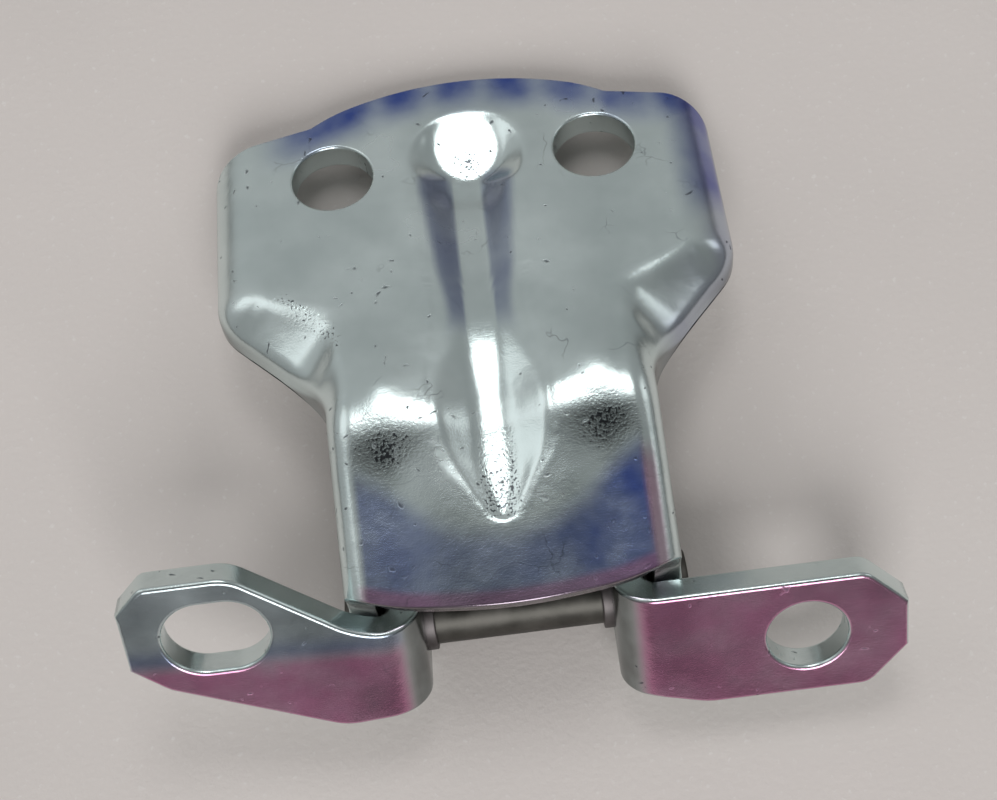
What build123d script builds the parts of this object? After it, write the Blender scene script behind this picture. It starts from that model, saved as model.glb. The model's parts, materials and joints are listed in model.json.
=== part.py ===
"""Car door hinge: a pressed leaf with two bolt holes, a tabbed bracket, a fixed pin and two bushes.

Lengths are in millimetres. The row frame has X along the pin, Y away from the tabs and Z up, with
the hinge lying at rest on its ears and its far edge. The leaf and the bracket are each drawn about the
pin axis, with the pin along X, and then set down in the row frame.
"""
import os
from math import acos, asin, atan2, cos, degrees, hypot, radians, sin, sqrt, tan

from build123d import *

os.makedirs("parts", exist_ok=True)

# Main leaf
LEAF_T = 4.5            # sheet thickness
PLATE_Z = 28.1          # outer face of the plate above the pin axis
LEAF_HALF = 39.4        # half width over the side flanges
WAIST_HALF = 24.3       # half width over the ears
SHOULDER_TOP_Y = 41.4   # where the side meets the sloping shoulder
SHOULDER_LOW_Y = 24.0   # where the shoulder meets the waist
SHOULDER_TOP_R = 9.5
SHOULDER_LOW_R = 7.5
FLANGE_R = 6.4          # outer radius of the turned flanges
FLANGE_DEPTH = 7.4      # flange rim below the plate face
RIM_END_Y = 26.0        # where the rim starts to run down to the ear
RIM_R = 14.0            # round of the rim there
FAR_Y = 82.0            # far edge on the centre line
FAR_BULGE_HALF = 24.0   # half width of its middle arc
FAR_BULGE = 5.7         # height of that arc
FAR_CORNER_Y = 73.2     # far edge beside the flanges
FAR_CORNER_R = 7.0
FAR_DIP = 0.8           # fall of the far edge where it leaves the flange
BEND_Y = 18.3           # bend between plate and lower panel
BEND_R = 14.0
PANEL_SLOPE = 22.0      # degrees
PANEL_LEN = 29.1        # lower panel on the centre line
PANEL_BULGE = 3.7       # rise of its lower edge from centre to ear
EAR_R = 7.2             # ear end round the pin
EAR_CLEAR = 1.0         # room between the ear and the bracket's tab

# Bolt holes of the leaf
BOLT_SPACING = 41.6
BOLT_Y = 64.6
BOLT_HOLE_R = 6.4

# Sunk groove and spear-shaped dart of the leaf
GROOVE_HEAD_Y = 67.0
GROOVE_NECK_Y = 33.0
GROOVE_DEPTH = 2.5      # at the head
GROOVE_NECK_DEPTH = 0.9
GROOVE_FLOOR_HALF = 2.0
HEAD_FLANK = 1.7        # half width gained per depth at the head
NECK_FLANK = 2.6
DART_FLANK = 1.9
DART_TIP_Y = 2.4
LIP_R = 2.5             # round where the flanks meet the leaf's face

# Pin and bushes
PIN_R = 4.2
PIN_HEAD_R = 5.4
PIN_HEAD_T = 1.3
PIN_HEAD_CHAMFER = 0.6
RUN_GAP = 0.05          # radial clearance of the pin in the bushes
SIDE_GAP = 0.2          # end clearance between bush collar and leaf ear
BUSH_R = 5.0
BUSH_COLLAR_R = 6.4
BUSH_COLLAR_T = 0.8
BUSH_STICK = 1.5        # bush end past the inner face of the ear

# Bracket
BRACKET_T = 4.8
TAB_FRONT = 13.0        # front face of the tabs before the pin axis
TAB_BEND_R = 6.4        # outer bend radius
WEB_Y = 6.2             # front face of the web behind the pin axis
WEB_LOW = 0.8           # lower edge of the web
TAB_END = 56.0          # end of each tab from the middle
TAB_TOP = 8.0
TAB_LOW = -12.4
TAB_CHAMFER = 5.8
TAB_DRAFT = 0.6         # lean of the straight tab's end
EAR_BLEND = 7.5         # where that tab's lower edge starts, beside its ear
EAR_BLEND_R = 10.0
EAR_LOW_RIGHT = -10.2
EAR_LOW_LEFT = -7.6
EAR_BOSS_R = 7.0        # bracket ear round the bush
LEFT_TOP = 21.1         # top of the raised end of the slotted tab
LEFT_TOP_X = -39.3      # where that top edge starts
LEFT_RISE_X = -22.5     # where the slotted tab starts to rise
LEFT_RISE_R = 12.0
LEFT_TOP_R = 7.0
LEFT_CHAMFER = 4.0
LEFT_END_LOW = 6.9
LEFT_KNEE = (-51.1, 2.6)
LEFT_LOW = (-27.0, -8.2)
LEFT_KNEE_R = 4.0
LEFT_LOW_R = 9.0
TAB_HOLE_X = 41.3
TAB_HOLE_Z = -1.9
TAB_HOLE_R = 5.9
SLOT_X = -42.8
SLOT_Z = 11.2
SLOT_R = 6.0
SLOT_LEN = 15.4         # end to end

# Reach of a cutting shape past the face that it cuts
CUT_OVER = 4.0

# Pose in the row frame: the bracket as photographed, the leaf lying on its ears and its far edge
OPEN_ANGLE = 24.0       # degrees
FOLD_MORE = 3.0         # degrees left until the tabs meet the leaf
rim_z = PLATE_Z - FLANGE_DEPTH


def lying_tilt(y, z):
    """Tilt in degrees that sets a point of the leaf and the round ends of its ears on one floor."""
    return degrees(atan2(z, y) + asin(EAR_R / hypot(y, z)))


rest_tilt = min(lying_tilt(FAR_Y, PLATE_Z - LEAF_T), lying_tilt(FAR_CORNER_Y, rim_z))
lean = radians(rest_tilt + OPEN_ANGLE)
front_y = -TAB_FRONT * cos(lean) + TAB_LOW * sin(lean)
back_y = FAR_Y * cos(radians(rest_tilt)) + PLATE_Z * sin(radians(rest_tilt))
pin_y = -(front_y + back_y) / 2
pin_z = EAR_R
leaf_place = Location((0, pin_y, pin_z), (-rest_tilt, 0, 0))
bracket_place = Location((0, pin_y, pin_z), (-rest_tilt - OPEN_ANGLE, 0, 0))

slope = radians(PANEL_SLOPE)
leaf_ear_inner = WAIST_HALF - LEAF_T
ear_outer = leaf_ear_inner - SIDE_GAP - BUSH_COLLAR_T
ear_inner = ear_outer - BRACKET_T
panel_plane = Plane(origin=(0, BEND_Y, PLATE_Z), x_dir=(1, 0, 0), z_dir=(0, -sin(slope), cos(slope)))


def shoulder_line(inset):
    """Right-hand plan outline of the leaf, moved inwards by the given distance."""
    dx = LEAF_HALF - WAIST_HALF
    dy = SHOULDER_TOP_Y - SHOULDER_LOW_Y
    turn = inset * (hypot(dx, dy) - dy) / dx
    return [
        (LEAF_HALF - inset, 2 * FAR_Y),
        (LEAF_HALF - inset, SHOULDER_TOP_Y + turn),
        (WAIST_HALF - inset, SHOULDER_LOW_Y + turn),
        (WAIST_HALF - inset, -2 * PANEL_LEN),
    ]


def leaf_form(inset):
    """Solid under the leaf's face, moved inwards by the given distance, with its long edges rounded."""
    right = shoulder_line(inset)
    left = [(-x, y) for x, y in reversed(right)]
    far = right[0][1]
    near = right[3][1]
    bend_y = BEND_Y + inset * tan(slope / 2)
    top = PLATE_Z - inset
    low = -2 * PLATE_Z
    with BuildPart() as form:
        with BuildSketch(Plane.YZ) as side:
            with BuildLine():
                Polyline((far, low), (far, top), (bend_y, top), (near, top - (bend_y - near) * tan(slope)),
                         (near, low), close=True)
            make_face()
            fillet(side.vertices().sort_by_distance((bend_y, top, 0))[0], BEND_R - inset)
        extrude(amount=2 * LEAF_HALF, both=True)
        with BuildSketch(Plane.XY.offset(low)) as plan:
            with BuildLine():
                Polyline(*right, *left, close=True)
            make_face()
            for sign in (1, -1):
                high_corner = (sign * right[1][0], right[1][1], 0)
                fillet(plan.vertices().sort_by_distance(high_corner)[0], SHOULDER_TOP_R - inset)
                low_corner = (sign * right[2][0], right[2][1], 0)
                fillet(plan.vertices().sort_by_distance(low_corner)[0], SHOULDER_LOW_R + inset)
        extrude(amount=4 * PLATE_Z, mode=Mode.INTERSECT)
        upper = [f for f in form.faces() if f.normal_at(f.center()).Z > 0.5]
        sides = [e for f in upper for e in f.edges() if abs(e.position_at(0.5).X) > right[3][0] - 0.01]
        fillet(sides, FLANGE_R - inset)
    return form.part


def groove_form(grow):
    """Solid that sinks the groove and the dart, grown on all sides by the given distance."""
    neck_z = PLATE_Z - GROOVE_NECK_DEPTH
    tip_z = PLATE_Z - (BEND_Y - DART_TIP_Y) * tan(slope)
    fall = (neck_z - tip_z) / (GROOVE_NECK_Y - DART_TIP_Y)
    run_y = DART_TIP_Y - 2 * CUT_OVER
    stations = [
        (GROOVE_HEAD_Y, PLATE_Z - GROOVE_DEPTH, HEAD_FLANK),
        (GROOVE_NECK_Y, neck_z, NECK_FLANK),
        (BEND_Y, neck_z - fall * (GROOVE_NECK_Y - BEND_Y), DART_FLANK),
        (run_y, neck_z - fall * (GROOVE_NECK_Y - run_y), DART_FLANK),
    ]
    top = PLATE_Z + CUT_OVER
    with BuildPart() as form:
        for y, floor_z, flank in stations:
            floor = floor_z - grow
            half = GROOVE_FLOOR_HALF + grow * (sqrt(1 + flank * flank) - flank)
            wide = half + flank * (top - floor)
            with BuildSketch(Plane(origin=(0, y, 0), x_dir=(1, 0, 0), z_dir=(0, -1, 0))):
                with BuildLine():
                    Polyline((-half, floor), (half, floor), (wide, top), (-wide, top), close=True)
                make_face()
        loft(ruled=True)
        floor = PLATE_Z - GROOVE_DEPTH - grow
        half = GROOVE_FLOOR_HALF + grow * (sqrt(1 + HEAD_FLANK * HEAD_FLANK) - HEAD_FLANK)
        with Locations((0, GROOVE_HEAD_Y, (floor + top) / 2)):
            Cone(half, half + HEAD_FLANK * (top - floor), top - floor)
    return form.part


def tangent_point(x, z, radius, side):
    """Point where a line from (x, z) touches the circle about the pin axis."""
    turn = side * acos(radius / hypot(x, z))
    angle = atan2(z, x) + turn
    return (radius * cos(angle), radius * sin(angle))


def turned(y, z, angle, add_y, add_z):
    """Bracket point carried to the leaf's frame at the given fold, then moved by the room it needs."""
    return (y * cos(angle) + z * sin(angle) + add_y, z * cos(angle) - y * sin(angle) + add_z)


outer_form = leaf_form(0)
inner_form = leaf_form(LEAF_T)
outer_groove = groove_form(0)
inner_groove = groove_form(LEAF_T)

with BuildPart() as hollow:
    add(inner_form)
    add(inner_groove, mode=Mode.SUBTRACT)

with BuildPart() as pressing:
    add(outer_form)
    add(outer_groove, mode=Mode.SUBTRACT)
    fillet(new_edges(outer_form, outer_groove, combined=pressing.part), LIP_R)
    add(hollow.part, mode=Mode.SUBTRACT)
    # Far edge and its rounded corners
    with BuildSketch(Plane.XY.offset(-2 * PLATE_Z)) as plan:
        with BuildLine():
            arc_y = FAR_Y - FAR_BULGE
            wide = LEAF_HALF + FAR_DIP
            near = -2 * PANEL_LEN
            middle = ThreePointArc((-FAR_BULGE_HALF, arc_y), (0, FAR_Y), (FAR_BULGE_HALF, arc_y))
            right_dip = TangentArc(middle @ 1, (wide, FAR_CORNER_Y - FAR_DIP), tangent=middle % 1)
            left_dip = TangentArc(middle @ 0, (-wide, FAR_CORNER_Y - FAR_DIP), tangent=-(middle % 0))
            Polyline(right_dip @ 1, (wide, near), (-wide, near), left_dip @ 1)
        make_face()
        for sign in (1, -1):
            corner = plan.vertices().sort_by_distance((sign * wide, FAR_CORNER_Y, 0))[0]
            fillet(corner, FAR_CORNER_R)
    extrude(amount=4 * PLATE_Z, mode=Mode.INTERSECT)
    # Lower edge of the sloping panel, cut square to the sheet
    with BuildSketch(panel_plane.offset(-2 * LEAF_T)):
        with BuildLine():
            cut = -2 * PANEL_LEN
            rise = -PANEL_LEN + PANEL_BULGE
            ThreePointArc((-WAIST_HALF, rise), (0, -PANEL_LEN), (WAIST_HALF, rise))
            Polyline((WAIST_HALF, rise), (2 * WAIST_HALF, rise), (2 * WAIST_HALF, cut),
                     (-2 * WAIST_HALF, cut), (-2 * WAIST_HALF, rise), (-WAIST_HALF, rise))
        make_face()
    extrude(amount=4 * LEAF_T, mode=Mode.SUBTRACT)
    # Rim of the flanges and ears in side view
    with BuildSketch(Plane.YZ) as rim:
        fold = radians(OPEN_ANGLE + FOLD_MORE)
        tab_back = BRACKET_T - TAB_FRONT
        back = tangent_point(RIM_END_Y, rim_z, EAR_R, -1)
        neck = turned(tab_back, TAB_TOP, fold, EAR_CLEAR, EAR_CLEAR / 2)
        brow = turned(-TAB_FRONT, TAB_TOP, fold, 0, EAR_CLEAR)
        front = tangent_point(neck[0], neck[1], EAR_R, 1)
        far = 2 * FAR_Y
        with BuildLine():
            Polyline((far, 2 * PLATE_Z), (far, rim_z), (RIM_END_Y, rim_z), back, (0, 0), front, neck, brow,
                     (-PANEL_LEN, brow[1]), (-PANEL_LEN, 2 * PLATE_Z), close=True)
        make_face()
        fillet(rim.vertices().sort_by_distance((RIM_END_Y, rim_z, 0))[0], RIM_R)
        Circle(EAR_R)
    extrude(amount=2 * LEAF_HALF, both=True, mode=Mode.INTERSECT)
    # Bolt holes and pin hole
    with Locations((BOLT_SPACING / 2, BOLT_Y, PLATE_Z), (-BOLT_SPACING / 2, BOLT_Y, PLATE_Z)):
        Cylinder(BOLT_HOLE_R, 4 * LEAF_T, mode=Mode.SUBTRACT)
    Cylinder(PIN_R, 3 * WAIST_HALF, rotation=(0, 90, 0), mode=Mode.SUBTRACT)

with BuildPart() as main_leaf:
    add(pressing.part.moved(leaf_place))
main_leaf.part.label = "main_leaf"
export_step(main_leaf.part, "parts/main_leaf.step")

with BuildPart() as pin_form:
    Cylinder(PIN_R, 2 * WAIST_HALF, rotation=(0, 90, 0))
    with Locations((WAIST_HALF + PIN_HEAD_T / 2, 0, 0), (-WAIST_HALF - PIN_HEAD_T / 2, 0, 0)):
        Cylinder(PIN_HEAD_R, PIN_HEAD_T, rotation=(0, 90, 0))
    ends = pin_form.edges().filter_by(GeomType.CIRCLE).sort_by(Axis.X)
    chamfer([ends[0], ends[-1]], PIN_HEAD_CHAMFER)

with BuildPart() as pin:
    add(pin_form.part.moved(leaf_place))
pin.part.label = "pin"
export_step(pin.part, "parts/pin.step")

with BuildPart() as folded:
    # Hat-shaped section: tabs, ears and web
    with BuildSketch(Plane.XY.offset(-2 * LEFT_TOP)) as section:
        tab_back = BRACKET_T - TAB_FRONT
        web_back = WEB_Y + BRACKET_T
        reach = TAB_END + CUT_OVER
        with BuildLine():
            Polyline((-reach, -TAB_FRONT), (-ear_inner, -TAB_FRONT), (-ear_inner, WEB_Y),
                     (ear_inner, WEB_Y), (ear_inner, -TAB_FRONT), (reach, -TAB_FRONT), (reach, tab_back),
                     (ear_outer, tab_back), (ear_outer, web_back), (-ear_outer, web_back),
                     (-ear_outer, tab_back), (-reach, tab_back), close=True)
        make_face()
        inner_r = TAB_BEND_R - BRACKET_T
        for sign in (1, -1):
            for x, y, r in ((ear_inner, -TAB_FRONT, TAB_BEND_R), (ear_inner, WEB_Y, inner_r),
                            (ear_outer, tab_back, inner_r), (ear_outer, web_back, TAB_BEND_R)):
                fillet(section.vertices().sort_by_distance((sign * x, y, 0))[0], r)
    extrude(amount=4 * LEFT_TOP)

split_y = TAB_BEND_R - TAB_FRONT

with BuildPart() as outline:
    # Tab outlines seen from the front
    with BuildSketch(Plane.XZ.offset(-split_y)) as right_tab:
        with BuildLine():
            Polyline((0, TAB_TOP), (TAB_END - TAB_CHAMFER, TAB_TOP), (TAB_END, TAB_TOP - TAB_CHAMFER),
                     (TAB_END - TAB_DRAFT, TAB_LOW + TAB_CHAMFER), (TAB_END - TAB_CHAMFER, TAB_LOW),
                     (ear_outer + EAR_BLEND, TAB_LOW), (ear_outer, EAR_LOW_RIGHT), (0, EAR_LOW_RIGHT),
                     close=True)
        make_face()
        fillet(right_tab.vertices().sort_by_distance((ear_outer + EAR_BLEND, TAB_LOW, 0))[0], EAR_BLEND_R)
    extrude(amount=TAB_FRONT + split_y + CUT_OVER)
    with BuildSketch(Plane.XZ.offset(-split_y)) as left_tab:
        with BuildLine():
            Polyline((0, TAB_TOP), (LEFT_RISE_X, TAB_TOP), (LEFT_TOP_X, LEFT_TOP),
                     (LEFT_CHAMFER - TAB_END, LEFT_TOP), (-TAB_END, LEFT_TOP - LEFT_CHAMFER),
                     (-TAB_END, LEFT_END_LOW), LEFT_KNEE, LEFT_LOW, (-ear_outer, EAR_LOW_LEFT),
                     (0, EAR_LOW_LEFT), close=True)
        make_face()
        for x, z, r in ((LEFT_RISE_X, TAB_TOP, LEFT_RISE_R), (LEFT_TOP_X, LEFT_TOP, LEFT_TOP_R),
                        (*LEFT_LOW, LEFT_LOW_R), (*LEFT_KNEE, LEFT_KNEE_R)):
            fillet(left_tab.vertices().sort_by_distance((x, z, 0))[0], r)
    extrude(amount=TAB_FRONT + split_y + CUT_OVER)
    # Ears and web seen from the side
    for sign, ear_low in ((1, EAR_LOW_RIGHT), (-1, EAR_LOW_LEFT)):
        with BuildSketch(Plane.YZ):
            with BuildLine():
                Polyline((split_y, TAB_TOP), (split_y, ear_low), (0, -EAR_BOSS_R), (0, WEB_LOW),
                         (web_back + CUT_OVER, WEB_LOW), (web_back + CUT_OVER, TAB_TOP), close=True)
            make_face()
        extrude(amount=sign * (ear_outer + CUT_OVER))
        with BuildSketch(Plane.YZ.offset(sign * ear_inner)):
            Circle(EAR_BOSS_R)
        extrude(amount=sign * (BRACKET_T + CUT_OVER))

with BuildPart() as tabbed:
    add(folded.part)
    add(outline.part, mode=Mode.INTERSECT)
    with Locations((TAB_HOLE_X, -TAB_FRONT, TAB_HOLE_Z)):
        Cylinder(TAB_HOLE_R, 4 * BRACKET_T, rotation=(90, 0, 0), mode=Mode.SUBTRACT)
    with BuildSketch(Plane.XZ.offset(TAB_FRONT + CUT_OVER)):
        with Locations((SLOT_X, SLOT_Z)):
            SlotOverall(SLOT_LEN, 2 * SLOT_R)
    extrude(amount=-BRACKET_T - 2 * CUT_OVER, mode=Mode.SUBTRACT)
    Cylinder(BUSH_R, 2 * ear_outer + CUT_OVER, rotation=(0, 90, 0), mode=Mode.SUBTRACT)

with BuildPart() as bracket:
    add(tabbed.part.moved(bracket_place))
bracket.part.label = "bracket"
export_step(bracket.part, "parts/bracket.step")

with BuildPart() as bush_form:
    with BuildSketch(Plane.XY):
        with BuildLine():
            collar_end = ear_outer + BUSH_COLLAR_T
            Polyline((ear_inner - BUSH_STICK, PIN_R + RUN_GAP), (ear_inner - BUSH_STICK, BUSH_R),
                     (ear_outer, BUSH_R), (ear_outer, BUSH_COLLAR_R), (collar_end, BUSH_COLLAR_R),
                     (collar_end, PIN_R + RUN_GAP), close=True)
        make_face()
    revolve(axis=Axis.X)

with BuildPart() as bush_right:
    add(bush_form.part.moved(bracket_place))
bush_right.part.label = "bush_right"
export_step(bush_right.part, "parts/bush_right.step")

with BuildPart() as bush_left:
    add(bush_form.part.mirror(Plane.YZ).moved(bracket_place))
bush_left.part.label = "bush_left"
export_step(bush_left.part, "parts/bush_left.step")
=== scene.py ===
# %% [markdown]
# # A pressed steel door hinge
#
# The hinge is two stamped sheets on one pin. The wide leaf bolts to the car, and the bracket swings on
# the pin between the leaf's ears. This lesson loads the measured model as a fixed frame, then builds each
# sheet again as a smooth surface, with the soft press lines and rolled edges that stamping leaves.

# %% Load the frame
import json

import bpy
import numpy as np
from mathutils import Matrix


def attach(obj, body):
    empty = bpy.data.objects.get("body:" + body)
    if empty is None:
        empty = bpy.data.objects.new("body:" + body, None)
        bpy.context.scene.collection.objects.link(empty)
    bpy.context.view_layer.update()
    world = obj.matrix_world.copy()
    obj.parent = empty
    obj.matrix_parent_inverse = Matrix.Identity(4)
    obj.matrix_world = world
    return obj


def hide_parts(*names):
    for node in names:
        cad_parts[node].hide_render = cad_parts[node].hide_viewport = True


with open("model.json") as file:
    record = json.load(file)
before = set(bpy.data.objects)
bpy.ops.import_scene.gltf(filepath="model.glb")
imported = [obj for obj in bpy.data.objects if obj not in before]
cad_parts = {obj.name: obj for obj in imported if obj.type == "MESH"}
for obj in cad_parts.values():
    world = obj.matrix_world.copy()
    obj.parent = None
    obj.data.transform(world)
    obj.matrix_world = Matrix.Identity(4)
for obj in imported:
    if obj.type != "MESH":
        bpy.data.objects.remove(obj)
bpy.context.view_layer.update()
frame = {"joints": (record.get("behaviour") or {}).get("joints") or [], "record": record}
MM = 0.001

# %% [markdown]
# ## Two drawing boards on one pin
#
# A toolmaker draws each sheet about the pin axis, with X along the pin. For the leaf, Z points out of its
# face; for the bracket, Y points back from its tabs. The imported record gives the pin's place, the
# direction of the leaf's bolts and the direction of the tab's bolt, and those carry a drawing to its place.

# %% Axes of the two sheets
mounts = {mount["name"]: mount for mount in frame["record"]["mounts"]}
PIN_AT = np.array(frame["joints"][0]["pos_m"]) / MM
ALONG_PIN = np.array([1.0, 0.0, 0.0])
leaf_up = np.array(mounts["leaf_bolts"]["axis"])
leaf_axes = np.array([ALONG_PIN, np.cross(leaf_up, ALONG_PIN), leaf_up])
bracket_back = -np.array(mounts["tab_hole"]["axis"])
bracket_axes = np.array([ALONG_PIN, bracket_back, np.cross(ALONG_PIN, bracket_back)])


def set_down(points, axes):
    """Drawn points in mm carried to the frame in metres: the pin's place plus x, y and z along the axes."""
    return (PIN_AT + points @ axes) * MM


print("leaf tilt", round(np.degrees(np.arcsin(leaf_up[1])), 1), "degrees")

# %% [markdown]
# ## Camera
#
# The view is steep, from above the tabs. The place, the aim and the slight roll are given on the leaf's
# drawing board, because the bolt holes there fix the view best. The focal length is in pixels of the
# 997 by 800 picture, and the lens follows from it.

# %% Camera at the picture's viewing angle
PHOTO_WIDTH = 997
FOCAL_PIXELS = 1800
SENSOR_MM = 36
CAMERA_AT = np.array([4.86, -126.46, 241.79])
CAMERA_AIM = np.array([1.18, 18.48, 28.1])
CAMERA_RIGHT = np.array([0.99179, -0.09721, -0.08302])


def unit(vectors):
    """Vectors divided by their lengths."""
    return vectors / np.maximum(np.linalg.norm(vectors, axis=-1, keepdims=True), 1e-12)


def add_object(name, data, columns=None):
    """A new object in the scene; the columns are its three axes and its place."""
    made = bpy.data.objects.new(name, data)
    bpy.context.scene.collection.objects.link(made)
    if columns is not None:
        made.matrix_world = Matrix(np.vstack([np.column_stack(columns), [0, 0, 0, 1]]).tolist())
    return made


def make_camera():
    """A camera whose own Z points back along the line of sight and whose X is the picture's right."""
    backward = unit(CAMERA_AT - CAMERA_AIM) @ leaf_axes
    right = CAMERA_RIGHT @ leaf_axes
    upward = unit(np.cross(backward, right))
    right = np.cross(upward, backward)
    place = set_down(CAMERA_AT, leaf_axes)
    data = bpy.data.cameras.new("camera")
    data.sensor_fit = "HORIZONTAL"
    data.sensor_width = SENSOR_MM
    data.lens = FOCAL_PIXELS / PHOTO_WIDTH * SENSOR_MM
    data.clip_start = 0.01
    bpy.context.scene.camera = add_object("camera", data, [right, upward, backward, place])
    print("lens", round(data.lens, 1), "mm, camera height", round(place[2], 3), "m")


make_camera()

# %% [markdown]
# ## Shader helpers
#
# A procedural finish is a small graph of nodes. A few helpers keep the graphs readable: they add a node
# with its settings, do sums, mix colours and make patchy noise on Object coordinates, so the pattern
# stays with the piece however it moves.

# %% Shader helpers
def feed(tree, socket, value):
    """Give an input its value, or link it where the value is another node's output."""
    if isinstance(value, bpy.types.NodeSocket):
        tree.links.new(value, socket)
    else:
        socket.default_value = value


def add_node(tree, kind, inputs=None, **settings):
    """A new node with the given settings and inputs."""
    made = tree.nodes.new(kind)
    for key, value in settings.items():
        setattr(made, key, value)
    for key, value in (inputs or {}).items():
        feed(tree, made.inputs[key], value)
    return made


def noise(tree, place, scale, detail=3.0, roughness=0.5):
    """Patchy noise whose patches are about one over the scale across, in metres."""
    inputs = {"Vector": place, "Scale": scale, "Detail": detail, "Roughness": roughness}
    return add_node(tree, "ShaderNodeTexNoise", inputs).outputs["Fac"]


def noise_vector(tree, place):
    """A small random shift, about 3 mm, that bends straight patterns."""
    inputs = {"Vector": place, "Scale": 140.0, "Detail": 3.0}
    colour = add_node(tree, "ShaderNodeTexNoise", inputs).outputs["Color"]
    return add_node(tree, "ShaderNodeVectorMath", {0: colour, 3: 0.012}, operation="SCALE").outputs[0]


def remap(tree, value, low, high, to_low=0.0, to_high=1.0):
    """The value carried from one range to another and held at its ends."""
    inputs = {"Value": value, "From Min": low, "From Max": high, "To Min": to_low, "To Max": to_high}
    return add_node(tree, "ShaderNodeMapRange", inputs).outputs["Result"]


def maths(tree, operation, first, second):
    """One sum, product or other operation on two values."""
    return add_node(tree, "ShaderNodeMath", {0: first, 1: second}, operation=operation).outputs[0]


def times(tree, first, second):
    """The product of two values."""
    return maths(tree, "MULTIPLY", first, second)


def mix(tree, share, first, second):
    """Two colours mixed by a share from 0 to 1."""
    made = add_node(tree, "ShaderNodeMix", {0: share}, data_type="RGBA")
    for key, colour in ((6, first), (7, second)):
        linked = isinstance(colour, bpy.types.NodeSocket)
        feed(tree, made.inputs[key], colour if linked else (*colour, 1.0))
    return made.outputs[2]


def roughen(tree, shader, height, strength, distance):
    """Bump on the shader from a pattern of heights, with its depth in metres."""
    bump = add_node(tree, "ShaderNodeBump", {"Height": height, "Strength": strength, "Distance": distance})
    tree.links.new(bump.outputs["Normal"], shader.inputs["Normal"])


def new_finish(name):
    """An empty material: its tree, its shader and the Object coordinates."""
    material = bpy.data.materials.new(name)
    material.use_nodes = True
    tree = material.node_tree
    shader = tree.nodes["Principled BSDF"]
    place = tree.nodes.new("ShaderNodeTexCoord").outputs["Object"]
    return material, tree, shader, place


# %% [markdown]
# ## Floor and light
#
# The hinge lies on a pale foam sheet. Bright metal is mostly a picture of the room, so the light matters
# more here than the colour. One soft lamp stands beyond the far edge, where the bend and the dart catch
# it. Two more light the shoulders from the left and the right, and a large one fills the front. The room
# itself is dark low down and where the viewer bends over the hinge, which draws dark lines on the rolls.

# %% Floor
FLOOR_REACH = 8.0
FLOOR_COLOUR = (0.725, 0.675, 0.645)
FLOOR_SHADE = 0.94
FLECK_COLOUR = (0.86, 0.84, 0.82)


def foam_finish():
    """Pale matt foam: faint clouds of colour and a fine closed-cell grain."""
    material, tree, shader, place = new_finish("pale_foam")
    clouds = noise(tree, place, 14.0)
    cells = noise(tree, place, 900.0, detail=4.0)
    darker = tuple(FLOOR_SHADE * c for c in FLOOR_COLOUR)
    colour = mix(tree, remap(tree, clouds, 0.3, 0.7), darker, FLOOR_COLOUR)
    flecks = remap(tree, cells, 0.62, 0.74, 0.0, 0.35)
    colour = mix(tree, flecks, colour, FLECK_COLOUR)
    tree.links.new(colour, shader.inputs["Base Color"])
    shader.inputs["Roughness"].default_value = 0.75
    roughen(tree, shader, cells, 0.25, 0.0004)
    return material


def make_floor():
    """A flat square at the height that the hinge rests on."""
    corners = np.array([(-1, -1, 0), (1, -1, 0), (1, 1, 0), (-1, 1, 0)]) * FLOOR_REACH
    mesh = bpy.data.meshes.new("floor")
    mesh.from_pydata(corners.tolist(), [], [(0, 1, 2, 3)])
    mesh.materials.append(foam_finish())
    floor = add_object("floor", mesh)


make_floor()

# %% Lamps and room
LAMPS = {
    "far_lamp": dict(azimuth=2, elevation=60, distance=1.1, size=0.38, watts=1.7),
    "left_softbox": dict(azimuth=-56, elevation=45, distance=1.2, size=0.6, watts=0.75),
    "right_softbox": dict(azimuth=68, elevation=31, distance=1.2, size=0.45, watts=0.5),
    "front_fill": dict(azimuth=178, elevation=40, distance=1.5, size=0.9, watts=13.0),
}
VIEWER_SPOT = (0.89, 0.985)
VIEWER_LEVEL = 0.06
HORIZON = (0.02, 0.16)
HORIZON_LEVEL = 0.12
BEYOND_LEVEL = (0.21, 0.40)
LEFTWARD_LEVEL = (1.2, 0.78)


def make_lamp(name, azimuth, elevation, distance, size, watts):
    """A square soft lamp; azimuth turns from straight beyond the far edge towards the right."""
    turn, rise = np.radians(azimuth), np.radians(elevation)
    way = np.array([np.sin(turn) * np.cos(rise), np.cos(turn) * np.cos(rise), np.sin(rise)])
    data = bpy.data.lights.new(name, "AREA")
    data.energy = watts
    data.size = size
    across = unit(np.cross([0, 0, 1], way))
    add_object(name, data, [across, np.cross(way, across), way, way * distance])


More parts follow.
